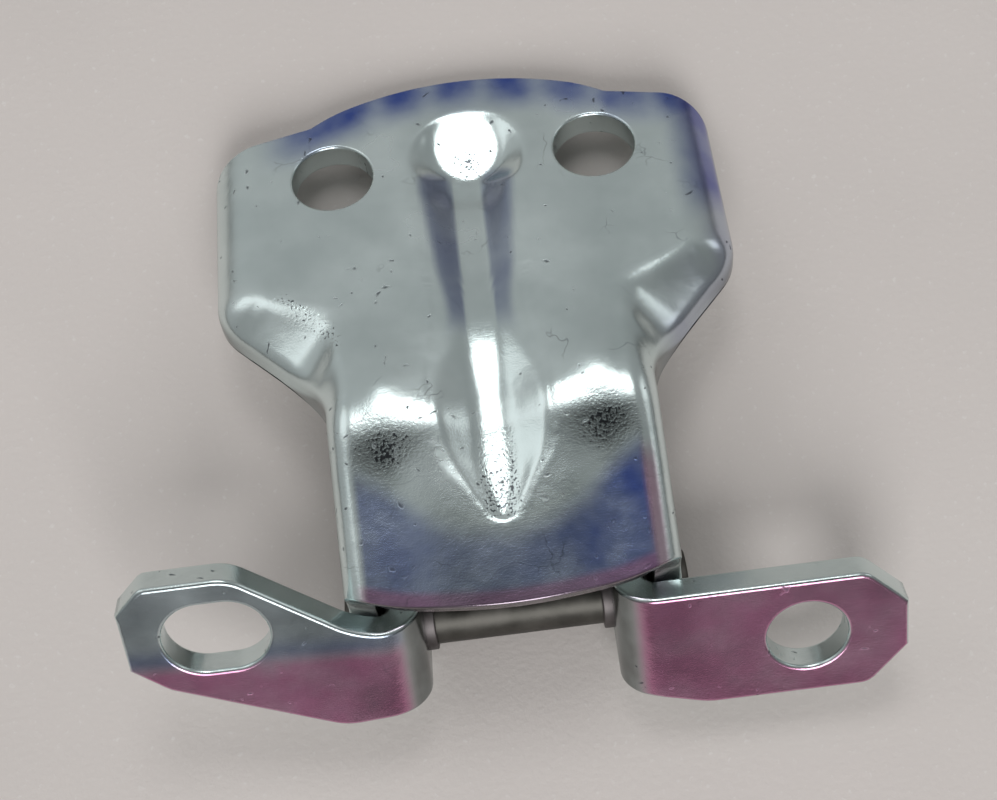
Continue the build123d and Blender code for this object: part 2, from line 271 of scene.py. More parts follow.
def make_room():
    """A grey room, brighter to the left and beyond, dark low down and where the viewer bends over."""
    world = bpy.data.worlds.new("room")
    bpy.context.scene.world = world
    world.use_nodes = True
    tree = world.node_tree
    way = add_node(tree, "ShaderNodeTexCoord").outputs["Generated"]
    parts = add_node(tree, "ShaderNodeSeparateXYZ", {0: way}).outputs
    beyond = remap(tree, parts["Y"], -0.5, 0.7, *BEYOND_LEVEL)
    leftward = remap(tree, parts["X"], -0.8, 0.7, *LEFTWARD_LEVEL)
    viewer = tuple(unit(set_down(CAMERA_AT, leaf_axes)))
    facing = add_node(tree, "ShaderNodeVectorMath", {0: way, 1: viewer}, operation="DOT_PRODUCT")
    shaded = remap(tree, facing.outputs["Value"], *VIEWER_SPOT, 1.0, VIEWER_LEVEL)
    horizon = remap(tree, parts["Z"], *HORIZON, HORIZON_LEVEL, 1.0)
    level = times(tree, times(tree, beyond, shaded), times(tree, leftward, horizon))
    shade = add_node(tree, "ShaderNodeCombineColor", {0: level, 1: level, 2: level}).outputs[0]
    back = tree.nodes["Background"]
    tree.links.new(shade, back.inputs["Color"])
    back.inputs["Strength"].default_value = 1.0


for lamp_name, lamp in LAMPS.items():
    make_lamp(lamp_name, **lamp)
make_room()
bpy.context.scene.view_settings.view_transform = "Standard"
print("lamps", list(LAMPS))

# %% [markdown]
# ## Zinc plating
#
# Bright zinc is a pale, faintly green metal. The blue and rose here are partly a thin clear film on it,
# which turns blue and rose where it lies thicker, and partly painted reflection of the room, laid on the
# lower panel and the tabs. Four surface attributes, worked out with each sheet, say where the blue and rose
# show, where painted shade darkens the metal and where its grain is coarse. Under the swells the coarse dark
# specks paint a dark reflection. Small noise in the gloss, hairline rubbing, dark specks and a few pits keep
# it from looking like a mirror.

# %% Zinc finish
ZINC = (0.615, 0.715, 0.71)
ZINC_PALE = (0.75, 0.85, 0.845)
PIT_COLOUR = (0.05, 0.055, 0.07)
# Blue and rose are partly the plating's film and partly painted reflection; the dark grey is painted shade.
TINTS = {
    "film_and_reflection_blue": dict(tint=(0.08, 0.13, 0.42), least=0.72),
    "film_and_reflection_rose": dict(tint=(0.53, 0.23, 0.375), least=0.9),
    "painted_shade": dict(tint=(0.15, 0.15, 0.145), least=0.8),
}
GLOSS = (0.18, 0.29)
PIT_GLOSS = 0.3
PIT_SHARE = 0.8
PIT_RADII = (0.10, 0.26)
SEAM_WIDTHS = (0.002, 0.014)
SEAM_SHARE = 0.35
SPECK_FROM = 0.86
SPECK_GAIN = 0.5
SPECK_SHARE = 0.88
HAIRLINE_TURN = (0.3, 0.2, 0.5)
HAIRLINE_SCALE = (260.0, 5200.0, 2600.0)


def attribute_of(tree, name):
    """A surface attribute's value."""
    return add_node(tree, "ShaderNodeAttribute", attribute_name=name).outputs["Fac"]


def zinc_marks(tree, place):
    """Pits, the middles of some Voronoi cells, and scratches, which are parts of wider cells' edges."""
    shift = noise_vector(tree, place)
    bent = add_node(tree, "ShaderNodeVectorMath", {0: place, 1: shift}, operation="ADD").outputs[0]
    cells = add_node(tree, "ShaderNodeTexVoronoi", {"Vector": bent, "Scale": 560.0}).outputs
    chance = add_node(tree, "ShaderNodeSeparateColor", {0: cells["Color"]}).outputs[0]
    rare = remap(tree, noise(tree, place, 75.0), 0.45, 0.66, 0.97, 0.72)
    dots = remap(tree, cells["Distance"], *PIT_RADII, 1.0, 0.0)
    pits = times(tree, dots, maths(tree, "GREATER_THAN", chance, rare))
    wide = {"Vector": bent, "Scale": 85.0}
    seams = add_node(tree, "ShaderNodeTexVoronoi", wide, feature="DISTANCE_TO_EDGE").outputs[0]
    lines = remap(tree, seams, *SEAM_WIDTHS, 1.0, 0.0)
    patches = remap(tree, noise(tree, place, 110.0), 0.56, 0.68, 0.0, SEAM_SHARE)
    return pits, times(tree, lines, patches)


def zinc_finish(name):
    """Plated steel: clouded colour, tints that are partly film and partly painted reflection, painted shade,
    uneven gloss, fine grain, rubbed hairlines, specks and pits.
    """
    material, tree, shader, place = new_finish(name)
    clouds = noise(tree, place, 70.0, detail=4.0)
    colour = mix(tree, remap(tree, clouds, 0.32, 0.68), ZINC, ZINC_PALE)
    for attribute, tint_layer in TINTS.items():
        uneven = remap(tree, noise(tree, place, 160.0), 0.3, 0.7, tint_layer["least"], 1.08)
        colour = mix(tree, times(tree, attribute_of(tree, attribute), uneven), colour, tint_layer["tint"])
    pits, scratches = zinc_marks(tree, place)
    # The dark specks grow with the coarse-grain attribute; under the swells they paint a dark reflection
    # patch.
    grain_and_painted_dark = attribute_of(tree, "grain_and_painted_dark")
    specks = noise(tree, place, 2300.0, detail=1.0)
    dark_from = maths(tree, "SUBTRACT", SPECK_FROM, times(tree, grain_and_painted_dark, SPECK_GAIN))
    speckle = remap(tree, maths(tree, "SUBTRACT", specks, dark_from), 0.0, 0.07, 0.0, SPECK_SHARE)
    marks = maths(tree, "MAXIMUM", scratches, times(tree, pits, PIT_SHARE))
    colour = mix(tree, maths(tree, "MAXIMUM", marks, speckle), colour, PIT_COLOUR)
    tree.links.new(colour, shader.inputs["Base Color"])
    shader.inputs["Metallic"].default_value = 1.0
    gloss = maths(tree, "ADD", remap(tree, clouds, 0.25, 0.75, *GLOSS), times(tree, pits, PIT_GLOSS))
    tree.links.new(gloss, shader.inputs["Roughness"])
    rubbing = {"Vector": place, "Rotation": HAIRLINE_TURN, "Scale": HAIRLINE_SCALE}
    turned = add_node(tree, "ShaderNodeMapping", rubbing).outputs[0]
    grain = times(tree, noise(tree, place, 3600.0, detail=2.0), 0.25)
    hairlines = times(tree, noise(tree, turned, 1.0, detail=2.0), 0.08)
    waves = times(tree, noise(tree, place, 330.0, detail=2.0), 0.9)
    rough = times(tree, times(tree, grain_and_painted_dark, specks), 1.8)
    height = grain
    for layer in (hairlines, waves, rough, times(tree, pits, -0.4)):
        height = maths(tree, "ADD", height, layer)
    roughen(tree, shader, height, 0.8, 0.00006)
    return material


def turned_finish(name, pale, dark, roughness):
    """Plain turned metal: dull mottled colour and fine rings along the pin."""
    material, tree, shader, place = new_finish(name)
    clouds = noise(tree, place, 240.0, detail=4.0)
    tree.links.new(mix(tree, remap(tree, clouds, 0.3, 0.7), dark, pale), shader.inputs["Base Color"])
    shader.inputs["Metallic"].default_value = 1.0
    tree.links.new(remap(tree, clouds, 0.2, 0.8, roughness, roughness + 0.15), shader.inputs["Roughness"])
    rings = add_node(tree, "ShaderNodeMapping", {"Vector": place, "Scale": (4000.0, 60.0, 60.0)}).outputs[0]
    height = noise(tree, rings, 1.0, detail=2.0)
    roughen(tree, shader, height, 0.3, 0.00005)
    return material


leaf_zinc = zinc_finish("leaf_zinc")
bracket_zinc = zinc_finish("bracket_zinc")
# The pin's dark colours are painted shade, for the shadow under the panel's lower edge.
pin_steel = turned_finish("pin_steel", (0.115, 0.11, 0.10), (0.06, 0.058, 0.052), 0.40)
bush_bronze = turned_finish("bush_bronze", (0.18, 0.165, 0.165), (0.10, 0.09, 0.09), 0.42)

# %% [markdown]
# ## Drawing with straight runs and arcs
#
# Press tools are drawn with straight runs joined by arcs, and so are all the outlines here. One function
# turns a few corners and radii into a dense line with its directions.

# %% Straight runs joined by arcs
def run_length(points):
    """Length along a line of points, from 0 at its start."""
    return np.concatenate([[0], np.cumsum(np.linalg.norm(np.diff(points, axis=0), axis=1))])


def rounded_line(corners, radii, step=0.2):
    """Points and directions along straight runs joined by arcs. An arc leaves its run one tangent length
    before the corner, which is the radius times the tangent of half the turn."""
    corners = np.array(corners, float)
    ways = unit(np.diff(corners, axis=0))
    points = [corners[:1]]
    for corner, way_in, way_out, radius in zip(corners[1:-1], ways[:-1], ways[1:], radii):
        cross = way_in[0] * way_out[1] - way_in[1] * way_out[0]
        turn = np.arctan2(cross, way_in @ way_out)
        reach = radius * np.tan(abs(turn) / 2)
        middle = corner - reach * way_in + np.sign(turn) * radius * np.array([-way_in[1], way_in[0]])
        arm = corner - reach * way_in - middle
        angle = np.linspace(0, turn, max(4, int(radius * abs(turn) / step)))[:, None]
        points.append(middle + np.cos(angle) * arm + np.sin(angle) * np.array([-arm[1], arm[0]]))
    points.append(corners[-1:])
    points = np.concatenate(points)
    length = run_length(points)
    fresh = np.concatenate([[True], np.diff(length) > 1e-6])
    points, length = points[fresh], length[fresh]
    even = np.linspace(0, length[-1], int(length[-1] / step) + 2)
    points = np.column_stack([np.interp(even, length, points[:, k]) for k in range(2)])
    return points, unit(np.gradient(points, axis=0))


def smooth_step(value, low, high):
    """0 below low, 1 above high and an even S-shaped rise between."""
    share = np.clip((value - low) / (high - low), 0, 1)
    return share * share * (3 - 2 * share)


def soft_max(value, reach):
    """The larger of the value and 0, with the corner rounded over the given reach each way."""
    return np.maximum(value, 0) + reach * np.clip(1 - np.abs(value) / reach, 0, 1) ** 2 / 4


def smooth_curve(value, at, heights):
    """A smooth curve through the given points: cubic pieces whose slopes are those of the points."""
    at, heights = np.array(at, float), np.array(heights, float)
    slopes = np.gradient(heights, at)
    k = np.clip(np.searchsorted(at, value) - 1, 0, len(at) - 2)
    width = at[k + 1] - at[k]
    t = np.clip((value - at[k]) / width, 0, 1)
    return ((1 + 2 * t) * (1 - t) ** 2 * heights[k] + t * (1 - t) ** 2 * width * slopes[k]
            + t ** 2 * (3 - 2 * t) * heights[k + 1] - t ** 2 * (1 - t) * width * slopes[k + 1])


# %% [markdown]
# ## Sheets with holes and rolled edges
#
# Each sheet is a grid of quads. Round a hole the cells are taken out, and rings of quads step from the
# square gap to the round edge, so the hole stays clean. The sheet then gets its back face, and a profile
# with two small rounds is carried along every edge, because stamped edges are never sharp.

# %% Grid, hole rings and rims
EDGE_ROUND = 0.45
EDGE_ROW = 1.3
HOLE_MARGIN = 1.8


def grid_with_holes(plan, holes):
    """Quads over a grid of plan points, with rings round each hole. A hole is its centre and a function
    that gives its reach at an angle. Returns the ring points, the quads and the edge loops."""
    rows, columns = plan.shape[:2]
    index = np.arange(rows * columns).reshape(rows, columns)
    kept = np.ones((rows - 1, columns - 1), bool)
    added, quads = [], []
    loops = [np.concatenate([index[0, :-1], index[:-1, -1], index[-1, :0:-1], index[:0:-1, 0]])]
    count = rows * columns
    for centre, reach in holes:
        offset = plan - np.array(centre)
        angle = np.arctan2(offset[..., 1], offset[..., 0])
        near = np.linalg.norm(offset, axis=-1) < reach(angle) + HOLE_MARGIN
        near_rows, near_columns = np.flatnonzero(near.any(1)), np.flatnonzero(near.any(0))
        top, low = near_rows[0] - 1, near_rows[-1] + 1
        left, right = near_columns[0] - 1, near_columns[-1] + 1
        kept[top:low, left:right] = False
        loop = np.concatenate([index[top, left:right], index[top:low, right],
                               index[low, right:left:-1], index[low:top:-1, left]])
        angle = angle.reshape(-1)[loop]
        outside = plan.reshape(-1, 2)[loop]
        edge = np.array(centre) + reach(angle)[:, None] * np.column_stack([np.cos(angle), np.sin(angle)])
        for share in (0.4, 1.0):
            ring = count + np.arange(len(loop))
            count += len(loop)
            added.append(outside + (edge - outside) * share)
            quads.append(np.column_stack([loop, np.roll(loop, -1), np.roll(ring, -1), ring]))
            loop = ring
        loops.append(loop[::-1])
    cells = np.stack([index[:-1, :-1], index[:-1, 1:], index[1:, 1:], index[1:, :-1]], -1)[kept]
    added = np.concatenate(added) if added else np.zeros((0, 2))
    return added, np.concatenate([cells, *quads]), loops


def hole_reach(radius, half=0.0):
    """Reach of a hole from its middle at each angle. A slot's ray meets a flat side or a round end, whose
    centre is half a straight side away; a round hole is a slot without straight sides."""
    def reach(angle):
        rise, run = np.abs(np.sin(angle)) + 1e-9, np.abs(np.cos(angle))
        to_end = half * run + np.sqrt(radius ** 2 - (half * np.sin(angle)) ** 2)
        return np.where(radius / rise * run < half, radius / rise, to_end)
    return reach


def rim_profile(thickness, rounding, steps=4):
    """Edge of a sheet in section: a quarter round at each face. Gives the reach outwards and the depth of
    each point, and the two parts of its normal."""
    turn = np.linspace(0, np.pi / 2, steps + 1)
    reach = rounding * (np.sin(turn) - 1)
    depth = rounding * (1 - np.cos(turn))
    places = np.column_stack([[*reach, *reach[::-1]], [*depth, *(thickness - depth[::-1])]])
    slants = np.column_stack([[*np.sin(turn), *np.sin(turn[::-1])], [*-np.cos(turn), *np.cos(turn[::-1])]])
    return places, slants


def sheet_normals(points, quads):
    """Normal at each point: the sum of the cross products of the diagonals of the quads round it."""
    a, b, c, d = (points[quads[:, k]] for k in range(4))
    normals = np.zeros_like(points)
    np.add.at(normals, quads, np.cross(c - a, d - b)[:, None, :])
    return unit(normals)


def close_sheet(face, back, quads, loops, thickness, rounding=EDGE_ROUND):
    """A closed sheet from its two faces. The rim's section is carried along each edge loop: outwards is the
    loop's direction turned about the sheet's normal, and depth is towards the back face."""
    places, slants = rim_profile(thickness, rounding)
    normals = [sheet_normals(face, quads), -sheet_normals(back, quads)]
    face, back = face.copy(), back.copy()
    count = len(face)
    points, faces = [], [quads, quads[:, ::-1] + count]
    total = 2 * count
    for loop in loops:
        edge = face[loop]
        inward = unit(back[loop] - edge)
        along = unit(np.roll(edge, -1, axis=0) - np.roll(edge, 1, axis=0))
        outward = unit(np.cross(inward, along))
        path = edge + places[:, :1, None] * outward + places[:, 1:, None] * inward
        lean = slants[:, :1, None] * outward + slants[:, 1:, None] * inward
        face[loop], back[loop] = path[0], path[-1]
        rings = total + np.arange(len(loop) * (len(path) - 2)).reshape(-1, len(loop))
        total += rings.size
        points.extend(path[1:-1])
        normals.extend(lean[1:-1])
        rings = np.concatenate([[loop], rings, [loop + count]])
        upper, lower = rings[:-1], rings[1:]
        strip = np.stack([np.roll(upper, -1, axis=1), upper, lower, np.roll(lower, -1, axis=1)], -1)
        faces.append(strip.reshape(-1, 4))
    return np.concatenate([face, back, *points]), np.concatenate(faces).tolist(), np.concatenate(normals)


def make_piece(name, points, faces, finish, body, node, tints_and_shade=None, normals=None):
    """A smooth mesh piece that rides on its body and stands for its measured node."""
    mesh = bpy.data.meshes.new(name)
    mesh.from_pydata(points.tolist(), [], faces)
    mesh.polygons.foreach_set("use_smooth", np.ones(len(mesh.polygons), bool))
    for tint_layer, amount in (tints_and_shade or {}).items():
        mesh.attributes.new(tint_layer, "FLOAT", "POINT").data.foreach_set("value", np.asarray(amount, float))
    mesh.materials.append(finish)
    mesh.validate()
    if normals is not None:
        mesh.normals_split_custom_set_from_vertices(normals.tolist())
    piece = add_object(name, mesh)
    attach(piece, body)
    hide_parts(node)
    print(name, len(points), "points", len(faces), "faces")
    return piece


# %% [markdown]
# ## The leaf's edge line
#
# The leaf is a pan: a flat plate with its sides turned down, a bend, and a sloping panel between two ears.
# Its sharp theoretical edge is followed from the far end, round the shoulder to the waist, over the bend
# and down the panel. Along that line two normals are kept: one points out of the side, the other out of
# the face. The rolled side then turns from one to the other, wherever the line goes.

# %% Leaf edge line
LEAF_T = 4.5
PLATE_Z = 28.1
LEAF_HALF = 39.4
WAIST_HALF = 24.3
SHOULDER_TOP_Y = 41.4
SHOULDER_LOW_Y = 24.0
SHOULDER_TOP_R = 9.5
SHOULDER_LOW_R = 7.5
FLANGE_R = 6.4
FAR_Y = 82.1
BEND_Y = 18.3
BEND_R = 14.0
PANEL_SLOPE = np.radians(22.0)
PANEL_LEN = 29.1

bend_start = BEND_Y + BEND_R * np.tan(PANEL_SLOPE / 2)
panel_end = (BEND_Y - PANEL_LEN * np.cos(PANEL_SLOPE), PLATE_Z - PANEL_LEN * np.sin(PANEL_SLOPE))
plan_line, plan_way = rounded_line(
    [(LEAF_HALF, FAR_Y), (LEAF_HALF, SHOULDER_TOP_Y), (WAIST_HALF, SHOULDER_LOW_Y), (WAIST_HALF, bend_start)],
    [SHOULDER_TOP_R, SHOULDER_LOW_R])
side_line, side_way = rounded_line([(bend_start, PLATE_Z), (BEND_Y, PLATE_Z), panel_end], [BEND_R])
plan_count, side_count = len(plan_line), len(side_line)
edge_point = np.concatenate([
    np.column_stack([plan_line, np.full(plan_count, PLATE_Z)]),
    np.column_stack([np.full(side_count, WAIST_HALF), side_line])[1:]])
side_normal = np.concatenate([
    np.column_stack([-plan_way[:, 1], plan_way[:, 0], np.zeros(plan_count)]),
    np.tile([1.0, 0.0, 0.0], (side_count - 1, 1))])
face_normal = np.concatenate([
    np.tile([0.0, 0.0, 1.0], (plan_count, 1)),
    np.column_stack([np.zeros(side_count), side_way[:, 1], -side_way[:, 0]])[1:]])
edge_length = run_length(edge_point)
LEAF_LENGTH = edge_length[-1]


def along_edge(table, length):
    """The table of points or normals read at the given lengths along the edge line."""
    return np.stack([np.interp(length, edge_length, table[:, k]) for k in range(3)], -1)


print("leaf edge line", round(LEAF_LENGTH, 1), "mm")

# %% [markdown]
# ## The leaf's far edge, lower edge and rim
#
# The far edge swells in the middle and dips to rounded corners. The lower edge of the panel is a shallow
# arc. The grid's rows are simply stretched so that the first and the last row lie on those curves. The
# rim of the turned sides runs level, then down to the ears, where the side becomes a patch between four
# curves: the roll, the sloping back, the round end about the pin and the front.

# %% Leaf outlines
FAR_BULGE_HALF = 24.0
FAR_BULGE = 5.7
FAR_CORNER_Y = 73.2
FAR_CORNER_R = 7.0
FAR_STRETCH = 30.0
PANEL_BULGE = 3.7
PANEL_STRETCH = 12.0
FLANGE_DEPTH = 7.4
SPREAD_LEFT = 0.9
SPREAD_RIGHT = 0.2
SPREAD_FROM = (27.0, 44.0)
SPREAD_ZONE = (0.85, 1.7)
RIM_END_Y = 26.0
RIM_R = 14.0
EAR_R = 7.2
EAR_NECK = (-2.67, 11.35)
rim_z = PLATE_Z - FLANGE_DEPTH


def far_edge(x):
    """Far edge in plan: a middle arc, a dip to the side and a round corner, as a height over |x|."""
    bulge_r = (FAR_BULGE_HALF ** 2 + FAR_BULGE ** 2) / (2 * FAR_BULGE)
    middle = FAR_Y - bulge_r + np.sqrt(bulge_r ** 2 - np.minimum(x, FAR_BULGE_HALF) ** 2)
    fall = (FAR_Y - FAR_BULGE - FAR_CORNER_Y) * smooth_step(x, FAR_BULGE_HALF - 6, LEAF_HALF)
    corner_x = LEAF_HALF + 0.6 - FAR_CORNER_R
    beyond = np.clip(x - corner_x, 0, FAR_CORNER_R)
    return middle - fall - FAR_CORNER_R + np.sqrt(FAR_CORNER_R ** 2 - beyond ** 2)


def tangent_point(point, side):
    """Where a line from the point touches the ear's round end."""
    angle = np.arctan2(point[1], point[0]) + side * np.arccos(EAR_R / np.hypot(*point))
    return EAR_R * np.array([np.cos(angle), np.sin(angle)])


ear_back = tangent_point((RIM_END_Y, rim_z), -1)
ear_front = tangent_point(EAR_NECK, 1)
rim_line, _ = rounded_line([(FAR_Y, rim_z), (RIM_END_Y, rim_z), ear_back], [RIM_R])


def rim_height(y):
    """Height of the rim over y: level beside the plate, then down to the ear."""
    return np.interp(y, rim_line[::-1, 0], rim_line[::-1, 1])


def read_line(points, share):
    """Points at the given shares of a line's length."""
    length = run_length(points)
    return np.stack([np.interp(share * length[-1], length, points[:, k]) for k in range(2)], -1)


def ear_patch(roll, across, down, drop):
    """Coons patch of the ear in side view: blends of opposite edge curves, less the blend of the corners."""
    start = np.array([bend_start, PLATE_Z - drop])
    last = along_edge(edge_point, LEAF_LENGTH - PANEL_BULGE) - drop * along_edge(face_normal, LEAF_LENGTH)
    finish = last[1:]
    foot = np.array([bend_start, rim_height(bend_start)])
    sweep = np.linspace(np.arctan2(ear_back[1], ear_back[0]),
                        np.arctan2(ear_front[1], ear_front[0]) - 2 * np.pi, 60)
    round_end = EAR_R * np.column_stack([np.cos(sweep), np.sin(sweep)])
    bottom = read_line(np.concatenate([[foot], round_end]), across)
    front = read_line(np.array([finish, EAR_NECK, ear_front]), down)
    back = start + (foot - start) * down[..., None]
    share, depth = across[..., None], down[..., None]
    corners = ((1 - share) * (1 - depth) * start + share * (1 - depth) * finish
               + (1 - share) * depth * foot + share * depth * ear_front)
    return (1 - depth) * roll + depth * bottom + (1 - share) * back + share * front - corners


# %% [markdown]
# ## Press forms
#
# A sunk groove stiffens the plate. It starts in a round dish, runs to a neck and opens into a
# spear-shaped dart across the bend. Its depth and its width are given at a few places along the leaf, and
# smooth curves join them. Small swells beside the dart are what the press leaves in the sheet.

# %% Groove, dart and press marks
GROOVE_AT = (2.5, 3.0, 4.5, 6.3, 8.0, 9.5, 11.0, 12.8, 16.0, 19.5, 23.0, 26.5, 29.5, 33.0, 45.0, 56.0, 61.0,
             62.5, 64.0, 66.0)
GROOVE_DEPTH = (0.0, 0.5, 0.9, 1.25, 1.5, 1.75, 2.0, 2.25, 2.65, 2.75, 2.3, 1.65, 1.15, 0.8, 1.5, 2.5, 3.1,
                3.0, 2.3, 1.2)
GROOVE_HALF = (1.0, 1.7, 2.7, 3.7, 4.7, 5.8, 6.7, 7.4, 7.8, 8.0, 7.8, 7.2, 6.1, 5.1, 5.9, 6.9, 7.3,
               7.2, 6.2, 4.0)
FLOOR_AT = (2.2, 4.5, 8.0, 14.0, 33.0, 60.0, 66.0)
FLOOR_HALF = (0.5, 1.5, 2.2, 2.3, 2.1, 2.3, 2.6)
DISH_AT = (0.8, 66.0)
DISH_R = 9.2
DISH_SLOPE = 0.57
DISH_DEPTH = 2.4
DISH_TILT = 0.25
DISH_ROUND = 0.5
DISH_FADE = (56.0, 62.5)
DISH_LIP = 0.2
DISH_SOFT = 0.3
FLOOR_SOFT = (1.6, 0.7)
LIP_AT = (2.2, 9.0, 20.0, 33.0, 62.0)
LIP_SOFT = (0.25, 0.5, 0.6, 0.6, 1.0)
END_RISE = 0.7
SWELL_X = 15.8
SWELL_SPREAD = 4.8
SWELL_AT = (-9, -6, -2, 2, 6, 9, 10, 11, 12, 13, 14, 15, 16, 17, 18, 19, 20, 21, 22, 23, 24, 25, 28, 32,
            36, 40)
SWELL_HEIGHT = (-0.5, -0.55, -0.62, -0.7, -0.8, -0.85, -0.84, -0.81, -0.73, -0.59, -0.41, -0.23, -0.09,
                0.0, 0.1, 0.24, 0.4, 0.56, 0.69, 0.78, 0.82, 0.8, 0.62, 0.34, 0.1, 0)


def groove_depth(x, y):
    """Depth of the groove below the face: the floor's depth, less the flank's rise beyond the floor. Past
    the dart's tip and past the head the floor rises out of the sheet. The head lies in a shallow dish, a
    cone with a tilted flat bottom that fades out towards the neck, and the deeper of the two forms counts."""
    beyond = np.maximum(GROOVE_AT[0] - y, 0) + np.maximum(y - GROOVE_AT[-1], 0)
    depth = smooth_curve(y, GROOVE_AT, GROOVE_DEPTH) - END_RISE * beyond
    half = smooth_curve(y, GROOVE_AT, GROOVE_HALF)
    floor = np.interp(y, FLOOR_AT, FLOOR_HALF)
    reach = soft_max(np.abs(x) - floor, np.interp(y, (20.0, 33.0), FLOOR_SOFT))
    rise = reach * np.maximum(depth, 0.4) / (half - floor)
    groove = soft_max(depth - rise, np.interp(y, LIP_AT, LIP_SOFT))
    cone = DISH_SLOPE * (DISH_R - np.hypot(x - DISH_AT[0], y - DISH_AT[1]))
    bottom = DISH_DEPTH - DISH_TILT * (y - DISH_AT[1])
    bowl = bottom - soft_max(bottom - cone, DISH_ROUND)
    dish = soft_max(bowl, DISH_LIP) * smooth_step(y, *DISH_FADE)
    return dish + soft_max(groove - dish, DISH_SOFT) * (groove > 0)


def press_marks(x, y):
    """Swells beside the dart, with a steep lower side that fades away sideways."""
    sideways = np.exp(-((np.abs(x) - SWELL_X) / SWELL_SPREAD) ** 2)
    return smooth_curve(y, SWELL_AT, SWELL_HEIGHT) * sideways


# %% [markdown]
# ## The leaf
#
# Across, the surface has three zones on each side: the face, the roll and the turned side. Along, it
# follows the edge line. The roll is a quarter of an ellipse, and round the shoulder it bends twice. The
# back of the sheet follows a plain quarter round and is moved in by the thickness along its normal, so
# the pan stays hollow underneath as the real pressing is.

# %% Leaf surface
FACE_COLUMNS = 96
ROLL_COLUMNS = 16
SIDE_COLUMNS = 6
LEAF_ROWS = 170
ROLL_ACROSS = 7.6
ROLL_GAIN = 4.4
ROLL_DOWN = 5.4
WAIST_ROLL = 4.0
ROLL_WIDER = (44.2, 56.0)
ROLL_TIGHTER = (54.0, 66.0)
SHOULDER_ZONE = (39.0, 47.0, 57.0, 66.0)
SHOULDER_ACROSS = 12.2
SHOULDER_DOWN = 7.0
SHOULDER_CORNERS = [(0, SHOULDER_DOWN), (2.4, SHOULDER_DOWN), (11.0, 2.8), (SHOULDER_ACROSS, 0)]
shoulder_section, _ = rounded_line(SHOULDER_CORNERS, [8.0, 2.5])
shoulder_section = shoulder_section / (SHOULDER_ACROSS, SHOULDER_DOWN)
BOLT_Y = 64.6
BOLT_HOLE_R = mounts["leaf_bolts"]["dims"]["hole_r_mm"]
BOLT_SPACING = mounts["leaf_bolts"]["dims"]["pcd_mm"]


def roll_size(length):
    """Reach and drop of the rolled side, broad beside the plate, broader round the shoulder and tight at
    the waist, and how far its section is that of the shoulder, which bends twice."""
    wider, tighter = smooth_step(length, *ROLL_WIDER), smooth_step(length, *ROLL_TIGHTER)
    twice = smooth_step(length, *SHOULDER_ZONE[:2]) * (1 - smooth_step(length, *SHOULDER_ZONE[2:]))
    reach = ROLL_ACROSS + ROLL_GAIN * wider
    drop = ROLL_DOWN + (SHOULDER_DOWN - ROLL_DOWN) * twice
    return reach + (WAIST_ROLL - reach) * tighter, drop + (WAIST_ROLL - drop) * tighter, twice


def leaf_surface(across, length, inside=False):
    """Points and normals. Across runs 0 to 1 on the face, to 2 round the roll and to 3 down the side,
    with its sign for left or right. Length runs along the edge line. The inside follows a plain quarter
    round."""
    zone = np.abs(across)
    half = along_edge(edge_point, length)[..., 0]
    turn = np.clip(zone - 1, 0, 1) * np.pi / 2
    wide, deep, twice = roll_size(length)
    flat = wide
    if inside:
        flat = np.maximum(wide, FLANGE_R)
        wide = deep = np.full_like(length, FLANGE_R)
        twice = np.zeros_like(length)
    section = read_line(shoulder_section, np.clip(zone - 1, 0, 1))
    outwards = wide * (np.sin(turn) * (1 - twice) + section[..., 0] * twice)
    upwards = deep * (np.cos(turn) * (1 - twice) + section[..., 1] * twice)
    reach = np.where(zone <= 1, flat, wide)
    x = np.minimum(zone, 1) * (half - reach) + outwards
    far_gap = FAR_Y - far_edge(x)
    far_share = np.clip(1 - length / FAR_STRETCH, 0, 1)
    low_share = np.clip((length - LEAF_LENGTH + PANEL_STRETCH) / PANEL_STRETCH, 0, 1)
    length = length + far_gap * far_share - PANEL_BULGE * (x / WAIST_HALF) ** 2 * low_share
    edge = along_edge(edge_point, length)
    out = unit(along_edge(side_normal, length))
    up = unit(along_edge(face_normal, length))
    points = edge + (outwards - reach)[..., None] * out + (upwards - deep)[..., None] * up
    normal = unit((deep * np.sin(turn))[..., None] * out + (wide * np.cos(turn))[..., None] * up)
    points[..., 0] *= np.minimum(zone, 1)
    down = np.clip(zone - 2, 0, 1)
    roll_end = points[..., 1:]
    foot = np.stack([roll_end[..., 0], rim_height(roll_end[..., 0])], -1)
    side = roll_end + (foot - roll_end) * down[..., None]
    ear_from = edge_length[plan_count - 1]
    ear_share = np.clip((length - ear_from) / (LEAF_LENGTH - PANEL_BULGE - ear_from), 0, 1)
    ear = ear_patch(roll_end, ear_share, down, FLANGE_R if inside else WAIST_ROLL)
    on_ear = (length > ear_from)[..., None]
    points[..., 1:] = np.where(down[..., None] > 0, np.where(on_ear, ear, side), points[..., 1:])
    spread = np.where(across < 0, SPREAD_LEFT, SPREAD_RIGHT) * smooth_step(zone, *SPREAD_ZONE)
    points += out * (spread * smooth_step(edge[..., 1], *SPREAD_FROM))[..., None]
    mirror = np.where(across < 0, -1.0, 1.0)
    points[..., 0] *= mirror
    normal[..., 0] *= mirror
    return points, normal


def leaf_grid():
    """Rows from the panel to the far edge and columns across; the outer rows leave room for the rounds."""
    face = np.linspace(0, 1, FACE_COLUMNS // 2 + 1)
    roll = 1 + np.linspace(0, 1, ROLL_COLUMNS + 1)[1:]
    side = 2 + np.linspace(0, 1, SIDE_COLUMNS + 1)[1:]
    half = np.concatenate([face, roll, side])
    across = np.concatenate([-half[:0:-1], half])
    length = np.concatenate([[0], np.linspace(EDGE_ROW, LEAF_LENGTH - EDGE_ROW, LEAF_ROWS), [LEAF_LENGTH]])
    return np.meshgrid(across, length[::-1])


